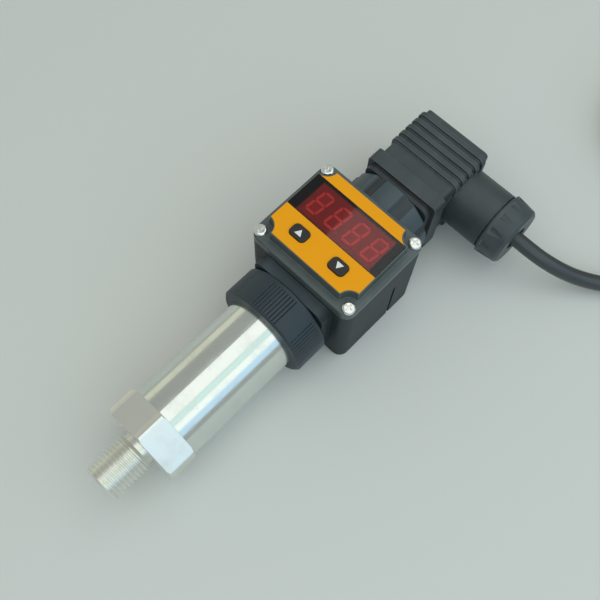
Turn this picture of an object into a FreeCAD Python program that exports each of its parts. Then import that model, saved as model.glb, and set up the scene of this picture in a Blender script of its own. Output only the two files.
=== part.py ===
"""Pressure transmitter with a plug-in display head, as a parametric FreeCAD document (mm).

The transmitter lies on a table. Its axis runs along X, with the process thread at -X and the cable
plug at +X. The display looks up (+Z) and the cable gland points to -Y. Stations along the axis are
measured from the tip of the thread, and the origin is under the middle of the object, on the table.
"""

import FreeCAD, Part
import Sketcher
import math
import os
from types import SimpleNamespace

DIMENSIONS = {
    # process connection: a G 1/4 thread and a 27 mm hexagon, turned from one bar
    "thread_radius": 6.58,
    "thread_length": 16.0,
    "thread_chamfer": 0.6,
    "relief_radius": 5.6,
    "relief_length": 2.6,
    "relief_slope": 1.04,
    "port_radius": 2.5,
    "hex_across_flats": 27.0,
    "hex_length": 10.0,
    "hex_face_radius": 14.7,
    "hex_cut_beyond": 1.0,
    "spigot_length": 9.0,
    # pressure cell inside the connection
    "cell_radius": 8.5,
    "cell_thickness": 3.2,
    "ring_seal_section": 0.8,
    "ring_seal_radius": 6.3,
    "clamp_ring_length": 2.0,
    "clamp_ring_bore": 5.1,
    # steel housing tube and the amplifier in it
    "tube_radius": 13.0,
    "tube_wall": 1.5,
    "tube_show": 41.4,
    "tube_in_ring": 8.0,
    "board_thickness": 1.6,
    "amplifier_length": 26.0,
    # plug base at the rear of the tube and its knurled union ring
    "union_radius": 17.0,
    "union_length": 12.0,
    "union_lip": 1.5,
    "union_bevel": 0.8,
    "union_rear_bevel": 0.5,
    "rib_depth": 0.45,
    "rib_opening": 0.3,
    "base_flange_radius": 14.4,
    "base_flange_length": 2.3,
    "base_neck_radius": 12.0,
    "base_plug_length": 6.0,
    "seat_gap": 0.2,
    # contact blades of both plug bases
    "blade_width": 6.3,
    "blade_thickness": 0.8,
    "blade_circle": 9.0,
    "blade_length": 8.0,
    "blade_seat": 0.5,
    # display head
    "head_length": 36.0,
    "head_width": 42.0,
    "head_drop": 17.8,
    "head_rise": 15.6,
    "head_corner": 3.5,
    "head_wall": 2.2,
    "socket_width": 29.4,
    "socket_height": 28.4,
    "socket_length": 4.0,
    "socket_corner": 4.0,
    "side_groove_width": 1.3,
    "side_groove_depth": 0.7,
    "side_groove_station": 5.2,
    "side_groove_top": 3.9,
    "lid_seal_thickness": 0.35,
    "lid_seal_inset": 0.6,
    "lid_plate": 3.0,
    "platform_height": 4.1,
    "platform_inset_ends": 2.8,
    "platform_inset_sides": 2.1,
    "platform_corner": 3.8,
    "screw_inset_ends": 2.85,
    "screw_inset_sides": 2.4,
    "screw_radius": 1.25,
    "screw_head_radius": 2.15,
    "screw_head_height": 1.3,
    "screw_length": 11.0,
    "screw_edge": 0.78,
    "screw_recess_reach": 1.3,
    "screw_recess_half": 0.28,
    "screw_recess_depth": 0.78,
    "boss_radius": 2.1,
    # label, window and keys on the platform
    "label_thickness": 0.2,
    "label_inset": 0.5,
    "label_gap": 0.15,
    "band_width": 11.0,
    "strip_width": 4.1,
    "strip_inset": 0.75,
    "window_thickness": 1.2,
    "module_inset": 3.3,
    "module_width": 12.8,
    "module_height": 6.6,
    "digit_height": 9.1,
    "digit_width": 4.7,
    "digit_gap": 2.9,
    "digit_slant": 0.12,
    "segment_width": 0.9,
    "segment_thickness": 0.12,
    "segment_gap": 0.1,
    "dot_offset": 1.4,
    "dot_radius": 0.57,
    "key_length": 4.6,
    "key_width": 6.2,
    "key_corner": 1.5,
    "key_row": 8.8,
    "key_spacing": 16.1,
    "key_proud": 0.5,
    "key_travel": 0.4,
    "key_edge": 0.25,
    "key_stem_radius": 1.4,
    "key_flange": 0.7,
    "key_flange_thickness": 0.8,
    "arrow_height": 2.2,
    "arrow_width": 2.6,
    "arrow_thickness": 0.08,
    "switch_side": 6.0,
    "switch_height": 3.4,
    "main_board_drop": 6.2,
    "header_width": 2.5,
    "header_inset": 2.5,
    "header_length": 20.8,
    # rear plug base, lobed coupling nut and flat seal
    "neck_length": 13.4,
    "coupling_radius": 16.0,
    "coupling_end_gap": 0.3,
    "coupling_flute_depth": 1.3,
    "shank_radius": 9.0,
    "shank_bore_radius": 6.5,
    "shank_floor": 3.0,
    "lock_nut_across_flats": 22.0,
    "lock_nut_length": 2.0,
    "rear_plate_side": 26.4,
    "rear_plate_thickness": 1.5,
    "rear_plate_corner": 3.0,
    "flat_seal_thickness": 1.2,
    "flat_seal_hole": 10.2,
    "flute_cutter_radius": 3.8,
    # angled cable plug
    "plug_length": 29.2,
    "plug_flange_width": 29.2,
    "plug_flange_length": 5.2,
    "plug_flange_rise": 14.0,
    "plug_width": 26.4,
    "plug_rise": 12.9,
    "plug_corner": 1.6,
    "plug_wall": 2.4,
    "plug_rib_pitch": 3.4,
    "plug_rib_width": 1.7,
    "plug_rib_height": 1.0,
    "insert_length": 15.0,
    "plug_screw_radius": 1.5,
    "plug_screw_head_radius": 2.8,
    "plug_screw_head_height": 2.2,
    "plug_screw_recess": 3.0,
    "plug_screw_slot": 0.8,
    "plug_rib_inset": 3.2,
    # cable gland
    "gland_back": 10.7,
    "boss_outer_radius": 10.6,
    "boss_reach": 28.4,
    "gland_thread_radius": 9.6,
    "gland_thread_length": 6.4,
    "gland_bore_radius": 7.0,
    "gland_nut_radius": 11.6,
    "gland_nut_taper": 0.9,
    "gland_flute_radius": 2.2,
    "gland_flute_depth": 0.75,
    "gland_nut_gap": 0.9,
    "gland_nut_length": 8.2,
    "gland_nut_wall": 1.8,
    "gland_seal_length": 8.0,
    "gland_washer_thickness": 0.8,
    "cable_radius": 2.75,
    "cable_entry_gap": 1.8,
    # put-away cable: a ring of turns, its tie and the stripped end
    "coil_middle_radius": 29.0,
    "coil_lift": 1.0,
    "coil_edge": 2.2,
    "tie_thickness": 0.8,
    "tie_width": 4.0,
    "core_radius": 0.7,
    "core_length": 12.0,
    "core_spacing": 1.96,
    "free_end_reach": 20.0,
    # fits
    "free_clearance": 0.35,
    "running_clearance": 0.05,
    "slip_clearance": 0.1,
}


class Size:
    """A length of the model: its value, and the sheet expression that gives it."""

    def __init__(self, value, text):
        self.value = float(value)
        self.text = text

    def __add__(self, other):
        other = as_size(other)
        return Size(self.value + other.value, f"({self.text} + {other.text})")

    def __sub__(self, other):
        other = as_size(other)
        return Size(self.value - other.value, f"({self.text} - {other.text})")

    def __mul__(self, factor):
        return Size(self.value * factor, f"({self.text} * {factor!r})")

    def __truediv__(self, divisor):
        return self * (1 / divisor)

    def __neg__(self):
        return self * -1.0


def as_size(number):
    return number if isinstance(number, Size) else Size(number, repr(float(number)))


doc = FreeCAD.newDocument("pressure_transmitter")
sheet = doc.addObject("Spreadsheet::Sheet", "Sizes")
for row, (name, value) in enumerate(DIMENSIONS.items(), start=1):
    sheet.set(f"A{row}", name)
    sheet.set(f"B{row}", str(value))
    sheet.setAlias(f"B{row}", name)
doc.recompute()
S = SimpleNamespace(**{name: Size(value, f"Sizes.{name}") for name, value in DIMENSIONS.items()})
ZERO = as_size(0)

# Stations along the axis, from the tip of the thread
hex_front = S.thread_length
hex_rear = hex_front + S.hex_length
ring_front = hex_rear + S.tube_show
tube_rear = ring_front + S.tube_in_ring
ring_rear = ring_front + S.union_length
flange_front = ring_rear + S.seat_gap
head_front = flange_front + S.socket_length
head_middle = head_front + S.head_length / 2
head_rear = head_front + S.head_length
plug_front = head_rear + S.neck_length
plug_rear = plug_front + S.plug_length
gland_station = plug_rear - S.gland_back
tube_inner = S.tube_radius - S.tube_wall

# The gland's own stations run outwards from the transmitter's axis
nut_start = S.boss_reach + S.gland_nut_gap
nut_end = nut_start + S.gland_nut_length

# Heights over the transmitter's axis
plate_bottom = S.head_rise + S.lid_seal_thickness
plate_top = plate_bottom + S.lid_plate
platform_top = plate_top + S.platform_height

# Where the bodies' own origins lie: the axis at the thread's tip, the head's middle, the gland's foot
axis_x = -(gland_station + S.gland_nut_radius) / 2
axis_y = (nut_end - S.head_width / 2) / 2
axis_z = S.head_drop
MAIN = (axis_x, axis_y, axis_z, 0)
HEAD = (axis_x + head_middle, axis_y, axis_z, 0)
PLUG = (axis_x + plug_front, axis_y, axis_z, 0)
GLAND = (axis_x + gland_station, axis_y, axis_z, -90)


# --- drawing aids -------------------------------------------------------------------------------


def new_body(label, frame):
    """A PartDesign body whose origin is one of the frames above, turned about Z by its angle."""
    body = doc.addObject("PartDesign::Body", label)
    body.Label = label
    body.AllowCompound = True
    place(body, frame)
    return body


def place(item, frame):
    """Ties an object's placement to a frame's three lengths and its turn about Z."""
    base = FreeCAD.Vector(*[length.value for length in frame[:3]])
    item.Placement = FreeCAD.Placement(base, FreeCAD.Rotation(FreeCAD.Vector(0, 0, 1), frame[3]))
    for axis, length in zip("xyz", frame[:3]):
        item.setExpression(f"Placement.Base.{axis}", length.text)


def sketch_on(body, plane, height=ZERO):
    """A sketch on the body's XY, XZ or YZ plane, raised by height along the plane's normal."""
    sketch = body.newObject("Sketcher::SketchObject", f"{body.Label}_sketch")
    origin_plane = [p for p in body.Origin.OriginFeatures if p.Role == f"{plane}_Plane"][0]
    sketch.AttachmentSupport = [(origin_plane, "")]
    sketch.MapMode = "FlatFace"
    sketch.AttachmentOffset = FreeCAD.Placement(FreeCAD.Vector(0, 0, height.value), FreeCAD.Rotation())
    sketch.setExpression("AttachmentOffset.Base.z", height.text)
    return sketch


def fix_point(sketch, geometry, end, x, y):
    """Holds one end of a line or arc, or a centre, at x, y of the sketch."""
    for kind, axis, length in (("DistanceX", -2, x), ("DistanceY", -1, y)):
        if length is ZERO:
            sketch.addConstraint(Sketcher.Constraint("PointOnObject", geometry, end, axis))
        else:
            index = sketch.addConstraint(Sketcher.Constraint(kind, -1, 1, geometry, end, length.value))
            sketch.setExpression(f"Constraints[{index}]", length.text)


def outline(sketch, corners):
    """A closed loop. A corner is (x, y), or (x, y, radius, side) where an arc leads to the next one:
    side 1 puts the arc's centre to the left of the way there, and -1 to the right."""
    first = None
    for i, corner in enumerate(corners):
        x, y = corners[(i + 1) % len(corners)][:2]
        start = FreeCAD.Vector(corner[0].value, corner[1].value, 0)
        finish = FreeCAD.Vector(x.value, y.value, 0)
        end, begin = 2, 1
        if len(corner) == 2:
            index = sketch.addGeometry(Part.LineSegment(start, finish))
        else:
            radius, side = corner[2:]
            way = finish - start
            rise = math.sqrt(max(radius.value**2 - way.Length**2 / 4, 0))
            left = FreeCAD.Vector(-way.y, way.x, 0) / way.Length
            centre = (start + finish) / 2 + left * (rise * side)
            ends = (start, finish) if side > 0 else (finish, start)
            angles = [math.atan2(p.y - centre.y, p.x - centre.x) for p in ends]
            circle = Part.Circle(centre, FreeCAD.Vector(0, 0, 1), radius.value)
            index = sketch.addGeometry(Part.ArcOfCircle(circle, *angles))
            radius_index = sketch.addConstraint(Sketcher.Constraint("Radius", index, radius.value))
            sketch.setExpression(f"Constraints[{radius_index}]", radius.text)
            end, begin = (2, 1) if side > 0 else (1, 2)
        fix_point(sketch, index, end, x, y)
        if first is None:
            first = (index, begin)
        else:
            sketch.addConstraint(Sketcher.Constraint("Coincident", last[0], last[1], index, begin))
        last = (index, end)
    sketch.addConstraint(Sketcher.Constraint("Coincident", last[0], last[1], *first))


def ring(sketch, x, y, radius):
    """A full circle."""
    circle = Part.Circle(FreeCAD.Vector(x.value, y.value, 0), FreeCAD.Vector(0, 0, 1), radius.value)
    index = sketch.addGeometry(circle)
    fix_point(sketch, index, 3, x, y)
    radius_index = sketch.addConstraint(Sketcher.Constraint("Radius", index, radius.value))
    sketch.setExpression(f"Constraints[{radius_index}]", radius.text)


def rectangle(left, right, low, high, corner=None):
    """The corners of a rectangle for outline, with round corners where a radius is given."""
    if corner is None:
        return [(left, low), (right, low), (right, high), (left, high)]
    return [
        (left + corner, low), (right - corner, low, corner, 1),
        (right, low + corner), (right, high - corner, corner, 1),
        (right - corner, high), (left + corner, high, corner, 1),
        (left, high - corner), (left, low + corner, corner, 1),
    ]


def centred(length, width, corner=None):
    """A rectangle of length by width about the sketch's origin."""
    return rectangle(-length / 2, length / 2, -width / 2, width / 2, corner)


def pad(body, sketch, length, taper=0):
    """Raises the sketch along its normal."""
    feature = body.newObject("PartDesign::Pad", f"{body.Label}_pad")
    feature.Profile = sketch
    feature.setExpression("Length", length.text)
    feature.TaperAngle = taper
    body.Tip = feature
    doc.recompute()
    return feature


def cut(body, kind, sketch, **settings):
    """A Pocket or Groove that has to take something away."""
    before = body.Shape.Volume
    feature = body.newObject(f"PartDesign::{kind}", f"{body.Label}_cut")
    feature.Profile = sketch
    for name, setting in settings.items():
        if isinstance(setting, Size):
            feature.setExpression(name, setting.text)
        else:
            setattr(feature, name, setting)
    body.Tip = feature
    doc.recompute()
    if body.Shape.Volume > before - 1e-6:
        raise RuntimeError(f"{body.Label}: a {kind} cuts nothing")
    return feature


def pocket(body, sketch, depth, reverse=False):
    """Cuts against the sketch's normal, or along it where reverse is set."""
    return cut(body, "Pocket", sketch, Length=depth, Reversed=reverse)


def turn(body, sketch, kind="Revolution"):
    """Turns the sketch a whole round about its horizontal axis, as a solid or as a Groove."""
    if kind == "Groove":
        return cut(body, "Groove", sketch, ReferenceAxis=(sketch, ["H_Axis"]), Angle=360)
    feature = body.newObject("PartDesign::Revolution", f"{body.Label}_turned")
    feature.Profile = sketch
    feature.ReferenceAxis = (sketch, ["H_Axis"])
    feature.Angle = 360
    body.Tip = feature
    doc.recompute()
    return feature


def turned(label, frame, profile):
    """A turned piece: its half section, as (station, radius) corners, about the frame's X axis."""
    body = new_body(label, frame)
    sketch = sketch_on(body, "XZ")
    outline(sketch, profile)
    turn(body, sketch)
    return body


def repeat(body, feature, kind, axis, count, length=None):
    """A PolarPattern about, or a LinearPattern along, one of the body's origin axes."""
    pattern = body.newObject(f"PartDesign::{kind}", f"{body.Label}_pattern")
    pattern.Originals = [feature]
    line = [a for a in body.Origin.OriginFeatures if a.Role == f"{axis}_Axis"][0]
    if kind == "PolarPattern":
        pattern.Axis = (line, [""])
        pattern.Angle = 360
    else:
        pattern.Direction = (line, [""])
        pattern.setExpression("Length", length.text)
    pattern.Occurrences = count
    body.Tip = pattern
    doc.recompute()
    return pattern


def edges_where(feature, wanted):
    """Names of the feature's edges for which wanted(edge) holds."""
    return [f"Edge{i}" for i, edge in enumerate(feature.Shape.Edges, start=1) if wanted(edge)]


def round_off(body, feature, wanted, radius, kind="Fillet"):
    """A Fillet or Chamfer of the edges that wanted picks."""
    finish = body.newObject(f"PartDesign::{kind}", f"{body.Label}_edges")
    finish.Base = (feature, edges_where(feature, wanted))
    finish.setExpression("Radius" if kind == "Fillet" else "Size", radius.text)
    body.Tip = finish
    doc.recompute()
    return finish


def spot(distance, angle):
    """The point at a distance from the axis and an angle in degrees from +Y towards +Z."""
    return distance * math.cos(math.radians(angle)), distance * math.sin(math.radians(angle))


def polygon(distance, first_angle, count):
    """The corners of a regular polygon about the axis."""
    return [spot(distance, first_angle + 360 / count * i) for i in range(count)]


# --- process connection: one bar of stainless steel with its thread, hexagon and spigot ------------

HEX_TURN = 37.5
CHAMFER_SLOPE = math.tan(math.radians(30))
apothem = S.hex_across_flats / 2
hex_corner = apothem / math.cos(math.radians(30))
spigot_radius = tube_inner - S.running_clearance
spigot_end = hex_rear + S.spigot_length
cell_front = spigot_end - S.cell_thickness - S.clamp_ring_length
chamber_front = cell_front - S.ring_seal_section * 2
chamber_radius = S.ring_seal_radius + S.ring_seal_section
seat_radius = S.cell_radius + S.slip_clearance
connection = turned("process_connection", MAIN, [
    (ZERO, ZERO),
    (ZERO, S.thread_radius - S.thread_chamfer),
    (S.thread_chamfer, S.thread_radius),
    (hex_front - S.relief_length, S.thread_radius),
    (hex_front - S.relief_length + S.relief_slope, S.relief_radius),
    (hex_front, S.relief_radius),
    (hex_front, spigot_radius),
    (spigot_end, spigot_radius),
    (spigot_end, seat_radius),
    (cell_front, seat_radius),
    (cell_front, chamber_radius),
    (chamber_front, chamber_radius),
    (chamber_front, ZERO),
])
sketch = sketch_on(connection, "YZ", hex_front)
outline(sketch, polygon(hex_corner, HEX_TURN, 6))
pad(connection, sketch, S.hex_length)
sketch = sketch_on(connection, "XZ")
beyond = hex_corner + S.hex_cut_beyond
slope_length = (beyond - S.hex_face_radius) * CHAMFER_SLOPE
for face, way in ((hex_front, 1), (hex_rear, -1)):
    outline(sketch, [
        (face - S.hex_cut_beyond * way, S.hex_face_radius),
        (face, S.hex_face_radius),
        (face + slope_length * way, beyond),
        (face - S.hex_cut_beyond * way, beyond),
    ][::way])
turn(connection, sketch, "Groove")
sketch = sketch_on(connection, "YZ")
ring(sketch, ZERO, ZERO, S.port_radius)
pocket(connection, sketch, chamber_front, reverse=True)

# --- pressure cell: a ceramic disc on a ring seal, held down by a threaded ring ---------------------

turned("pressure_cell", MAIN, [
    (cell_front, ZERO),
    (cell_front, S.cell_radius),
    (cell_front + S.cell_thickness, S.cell_radius),
    (cell_front + S.cell_thickness, ZERO),
])
turned("clamp_ring", MAIN, [
    (cell_front + S.cell_thickness, S.clamp_ring_bore),
    (cell_front + S.cell_thickness, S.cell_radius),
    (spigot_end, S.cell_radius),
    (spigot_end, S.clamp_ring_bore),
])
cell_seal = doc.addObject("Part::Torus", "cell_seal")
cell_seal.Label = "cell_seal"
cell_seal.setExpression("Radius1", S.ring_seal_radius.text)
cell_seal.setExpression("Radius2", (S.ring_seal_section - S.running_clearance / 2).text)
SIDEWAYS = FreeCAD.Rotation(FreeCAD.Vector(0, 1, 0), 90)
seal_frame = (axis_x + chamber_front + S.ring_seal_section, axis_y, axis_z, 0)
place(cell_seal, seal_frame)
cell_seal.Placement.Rotation = SIDEWAYS

# --- housing tube and the amplifier inside it -------------------------------------------------------

turned("housing_tube", MAIN, [
    (hex_rear, tube_inner),
    (hex_rear, S.tube_radius),
    (tube_rear, S.tube_radius),
    (tube_rear, tube_inner),
])
amplifier_end = tube_rear - S.base_plug_length
amplifier_front = amplifier_end - S.amplifier_length
# Blocks of parts on the board: start and length as shares of its length, sides as shares of its half width
AMPLIFIER_PARTS = [(0.12, 0.3, -0.5, 0.1), (0.55, 0.2, -0.1, 0.5), (0.8, 0.12, -0.6, -0.3)]
amplifier = new_body("amplifier_board", MAIN)
sketch = sketch_on(amplifier, "XY")
board_half = tube_inner - S.slip_clearance * 2
outline(sketch, rectangle(amplifier_front, amplifier_end, -board_half, board_half))
pad(amplifier, sketch, S.board_thickness)
sketch = sketch_on(amplifier, "XY", S.board_thickness)
for start, length, low, high in AMPLIFIER_PARTS:
    left = amplifier_front + S.amplifier_length * start
    outline(sketch, rectangle(left, left + S.amplifier_length * length, board_half * low, board_half * high))
pad(amplifier, sketch, S.board_thickness)

# --- front plug base: closes the tube and carries the contact blades --------------------------------

flange_end = tube_rear + S.base_flange_length
front_base = turned("front_plug_base", MAIN, [
    (amplifier_end, ZERO),
    (amplifier_end, spigot_radius),
    (tube_rear, spigot_radius),
    (tube_rear, S.base_flange_radius),
    (flange_end, S.base_flange_radius),
    (flange_end, S.base_neck_radius),
    (ring_rear, S.base_neck_radius),
    (ring_rear, ZERO),
])


def blades(label, station, outwards):
    """Contact blades of a plug base: three flat ones and the wider earth blade, 90 degrees apart."""
    body = new_body(label, MAIN)
    sketch = sketch_on(body, "YZ", station)
    half_long = S.blade_width / 2
    half_thin = S.blade_thickness / 2
    for across, up in ((1, 0), (-1, 0), (0, 1)):
        y = S.blade_circle * across
        z = S.blade_circle * up
        wide, tall = (half_thin, half_long) if across else (half_long, half_thin)
        outline(sketch, rectangle(y - wide, y + wide, z - tall, z + tall))
    pad(body, sketch, outwards)
    return body


blades("front_contact_blades", ring_rear, S.blade_length)

# --- union ring: clamps the front base to the tube, with groups of fine grip ribs -------------------

RIB_GROUPS = 6
RIBS_IN_GROUP = 9
RIB_STEP = 4.0
FIRST_GROUP = 92.0
cavity_radius = S.base_flange_radius + S.free_clearance
lip_front = ring_rear - S.union_lip
union = turned("union_ring", MAIN, [
    (ring_front, S.tube_radius + S.running_clearance),
    (ring_front, S.union_radius - S.union_bevel),
    (ring_front + S.union_bevel, S.union_radius),
    (ring_rear - S.union_rear_bevel, S.union_radius),
    (ring_rear, S.union_radius - S.union_rear_bevel),
    (ring_rear, S.base_neck_radius + S.slip_clearance),
    (lip_front, S.base_neck_radius + S.slip_clearance),
    (lip_front, cavity_radius),
    (tube_rear - S.seat_gap, cavity_radius),
    (tube_rear - S.seat_gap, S.tube_radius + S.running_clearance),
])
sketch = sketch_on(union, "YZ", ring_front)
GROOVE_SHARE = 0.28
groove_half = RIB_STEP * GROOVE_SHARE
first_rib = FIRST_GROUP - RIB_STEP * (RIBS_IN_GROUP - 1) / 2
for i in range(RIBS_IN_GROUP):
    angle = first_rib + RIB_STEP * i
    outline(sketch, [
        spot(S.union_radius - S.rib_depth, angle),
        spot(S.union_radius + S.rib_opening, angle - groove_half),
        spot(S.union_radius + S.rib_opening, angle + groove_half),
    ])
grooves = pocket(union, sketch, S.union_length - S.union_lip, reverse=True)
repeat(union, grooves, "PolarPattern", "X", RIB_GROUPS)

# --- display head: a moulded box with the front socket block, screw bosses and a rear hole ----------

half_long = S.head_length / 2
half_wide = S.head_width / 2
screw_x = half_long - S.screw_inset_ends
screw_y = half_wide - S.screw_inset_sides
platform_x = half_long - S.platform_inset_ends
platform_y = half_wide - S.platform_inset_sides
SCREW_SPOTS = [(screw_x * i, screw_y * j) for i in (-1, 1) for j in (-1, 1)]
head = new_body("head_housing", HEAD)
sketch = sketch_on(head, "XY", -S.head_drop)
outline(sketch, centred(S.head_length, S.head_width, S.head_corner))
box = pad(head, sketch, S.head_drop + S.head_rise)
round_off(head, box, lambda e: e.BoundBox.ZMax < 1 - S.head_drop.value, S.lid_seal_inset)
sketch = sketch_on(head, "YZ", -half_long - S.socket_length)
outline(sketch, centred(S.socket_width, S.socket_height, S.socket_corner))
block = pad(head, sketch, S.socket_length + S.head_wall / 2)
sketch = sketch_on(head, "XY", S.head_rise)
inner_length = S.head_length - S.head_wall * 2
inner_width = S.head_width - S.head_wall * 2
outline(sketch, centred(inner_length, inner_width, S.head_corner - S.head_wall))
pocket(head, sketch, S.head_drop + S.head_rise - S.head_wall)
sketch = sketch_on(head, "XY", S.head_wall / 2 - S.head_drop)
for x, y in SCREW_SPOTS:
    ring(sketch, x, y, S.boss_radius)
pad(head, sketch, S.head_drop + S.head_rise - S.head_wall / 2)
sketch = sketch_on(head, "XY", S.head_rise)
for x, y in SCREW_SPOTS:
    ring(sketch, x, y, S.screw_radius + S.running_clearance)
pocket(head, sketch, S.screw_length)
sketch = sketch_on(head, "XY", S.side_groove_top)
for side in (-1, 1):
    edge = half_wide * side
    inner_edge = edge - S.side_groove_depth * side
    outer_edge = edge + S.head_wall * side
    low, high = (outer_edge, inner_edge) if side < 0 else (inner_edge, outer_edge)
    left = S.side_groove_station
    outline(sketch, rectangle(left, left + S.side_groove_width, low, high))
pocket(head, sketch, S.head_drop + S.side_groove_top + S.side_groove_width)
sketch = sketch_on(head, "YZ", half_long)
ring(sketch, ZERO, ZERO, S.shank_radius + S.slip_clearance)
through_wall = S.head_wall * 1.5
pocket(head, sketch, through_wall)


def blade_slots(body, station, depth):
    """Slots a little larger than the contact blades, cut along +X from a station."""
    sketch = sketch_on(body, "YZ", station)
    half_tall = S.blade_width / 2 + S.slip_clearance
    half_thin = S.blade_thickness / 2 + S.slip_clearance
    for across, up in ((1, 0), (-1, 0), (0, 1)):
        y = S.blade_circle * across
        z = S.blade_circle * up
        wide, tall = (half_thin, half_tall) if across else (half_tall, half_thin)
        outline(sketch, rectangle(y - wide, y + wide, z - tall, z + tall))
    pocket(body, sketch, depth, reverse=True)


blade_slots(head, -half_long - S.socket_length, S.socket_length + through_wall)


# --- seal between head and lid ----------------------------------------------------------------------

lid_seal = new_body("lid_seal", HEAD)
sketch = sketch_on(lid_seal, "XY", S.head_rise)
inset_length = S.head_length - S.lid_seal_inset * 2
inset_width = S.head_width - S.lid_seal_inset * 2
outline(sketch, centred(inset_length, inset_width, S.head_corner - S.lid_seal_inset))
outline(sketch, centred(inner_length, inner_width, S.head_corner - S.head_wall))
pad(lid_seal, sketch, S.lid_seal_thickness)
sketch = sketch_on(lid_seal, "XY", plate_bottom)
for x, y in SCREW_SPOTS:
    ring(sketch, x, y, S.screw_radius + S.slip_clearance)
pocket(lid_seal, sketch, S.lid_seal_thickness)


# --- lid: a plate with a raised platform, notched round the four screws -----------------------------


def notched(inset):
    """The platform's outline, drawn in by inset, with a hollow arc round each screw."""
    long_side = platform_x - inset
    wide_side = platform_y - inset
    radius = S.platform_corner + inset
    x = screw_x - radius
    y = screw_y - radius
    return [
        (long_side, -y), (long_side, y, radius, -1),
        (x, wide_side), (-x, wide_side, radius, -1),
        (-long_side, y), (-long_side, -y, radius, -1),
        (-x, -wide_side), (x, -wide_side, radius, -1),
    ]


label_x = platform_x - S.label_inset
label_y = platform_y - S.label_inset
module_y = label_y - S.module_inset
band_edge = S.band_width - label_x
strip_edge = label_x - S.strip_width
window_x = (band_edge + strip_edge) / 2
window_gap = strip_edge - band_edge
recess_depth = S.window_thickness - S.label_thickness
window_bottom = platform_top - recess_depth
module_top = window_bottom - S.segment_thickness - S.slip_clearance
display_top = module_top - S.module_height
LID_DRAFT = -4.0
KEY_SPOTS = {"key_up": 1, "key_down": -1}
lid = new_body("head_lid", HEAD)
sketch = sketch_on(lid, "XY", plate_bottom)
outline(sketch, centred(S.head_length, S.head_width, S.head_corner))
plate = pad(lid, sketch, S.lid_plate)
round_off(lid, plate, lambda e: e.BoundBox.ZMin > plate_top.value - 0.1, S.lid_seal_inset)
sketch = sketch_on(lid, "XY", plate_top)
outline(sketch, notched(ZERO))
pad(lid, sketch, S.platform_height, LID_DRAFT)
sketch = sketch_on(lid, "XY", plate_bottom)
outline(sketch, notched(S.head_wall))
pocket(lid, sketch, platform_top - S.head_wall - plate_bottom, reverse=True)
sketch = sketch_on(lid, "XY", platform_top)
outline(sketch, rectangle(band_edge, strip_edge, -label_y, label_y))
pocket(lid, sketch, recess_depth)
sketch = sketch_on(lid, "XY", platform_top)
half_opening = S.module_width / 2 + S.slip_clearance * 2
opening_reach = module_y + S.slip_clearance * 2
outline(sketch, rectangle(window_x - half_opening, window_x + half_opening, -opening_reach, opening_reach))
pocket(lid, sketch, S.platform_height + S.lid_plate)


def key_outline(side, gap):
    """The round-cornered outline of a key, widened by gap."""
    length = S.key_length / 2 + gap
    width = S.key_width / 2 + gap
    y = S.key_spacing / 2 * side
    return rectangle(-S.key_row - length, -S.key_row + length, y - width, y + width, S.key_corner + gap)


sketch = sketch_on(lid, "XY", platform_top)
for side in KEY_SPOTS.values():
    outline(sketch, key_outline(side, S.slip_clearance))
pocket(lid, sketch, S.platform_height)
sketch = sketch_on(lid, "XY", plate_top)
for x, y in SCREW_SPOTS:
    ring(sketch, x, y, S.screw_radius + S.slip_clearance)
pocket(lid, sketch, S.lid_plate)


# --- lid screws: four cross-recess screws -----------------------------------------------------------

screws = new_body("lid_screws", HEAD)
sketch = sketch_on(screws, "XY", plate_top)
for x, y in SCREW_SPOTS:
    ring(sketch, x, y, S.screw_head_radius)
heads = pad(screws, sketch, S.screw_head_height)
head_top = plate_top + S.screw_head_height
round_off(screws, heads, lambda e: e.BoundBox.ZMin > head_top.value - 0.1, S.screw_edge)
sketch = sketch_on(screws, "XY", plate_top - (S.screw_length - S.lid_plate))
for x, y in SCREW_SPOTS:
    ring(sketch, x, y, S.screw_radius)
pad(screws, sketch, S.screw_length - S.lid_plate + S.screw_head_height / 2)
sketch = sketch_on(screws, "XY", head_top)
arm = S.screw_recess_reach
slot = S.screw_recess_half
for x, y in SCREW_SPOTS:
    outline(sketch, [
        (x + dx, y + dy) for dx, dy in (
            (-arm, -slot), (-slot, -slot), (-slot, -arm), (slot, -arm), (slot, -slot), (arm, -slot),
            (arm, slot), (slot, slot), (slot, arm), (-slot, arm), (-slot, slot), (-arm, slot),
        )
    ])
pocket(screws, sketch, S.screw_recess_depth)


# --- label and window: two bands of printed foil with a red filter between them ---------------------

notch_x = screw_x - S.platform_corner - S.label_inset
notch_y = screw_y - S.platform_corner - S.label_inset
notch_radius = S.platform_corner + S.label_inset
lower_label = new_body("label_band", HEAD)
sketch = sketch_on(lower_label, "XY", platform_top)
outline(sketch, [
    (band_edge, -label_y), (band_edge, label_y),
    (-notch_x, label_y, notch_radius, -1), (-label_x, notch_y),
    (-label_x, -notch_y, notch_radius, -1), (-notch_x, -label_y),
])
for side in KEY_SPOTS.values():
    outline(sketch, key_outline(side, S.label_gap))
pad(lower_label, sketch, S.label_thickness)
strip_y = label_y - S.strip_inset
upper_label = new_body("label_strip", HEAD)
sketch = sketch_on(upper_label, "XY", platform_top)
outline(sketch, [
    (strip_edge, -strip_y, notch_radius, -1), (label_x, -notch_y),
    (label_x, notch_y, notch_radius, -1), (strip_edge, strip_y),
])
pad(upper_label, sketch, S.label_thickness)
window = new_body("display_window", HEAD)
sketch = sketch_on(window, "XY", window_bottom)
edge_gap = S.running_clearance
outline(sketch, rectangle(
    band_edge + edge_gap, strip_edge - edge_gap, edge_gap - label_y, label_y - edge_gap,
))
pad(window, sketch, S.window_thickness)


# --- display module, its digits, and the boards under it --------------------------------------------

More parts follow.
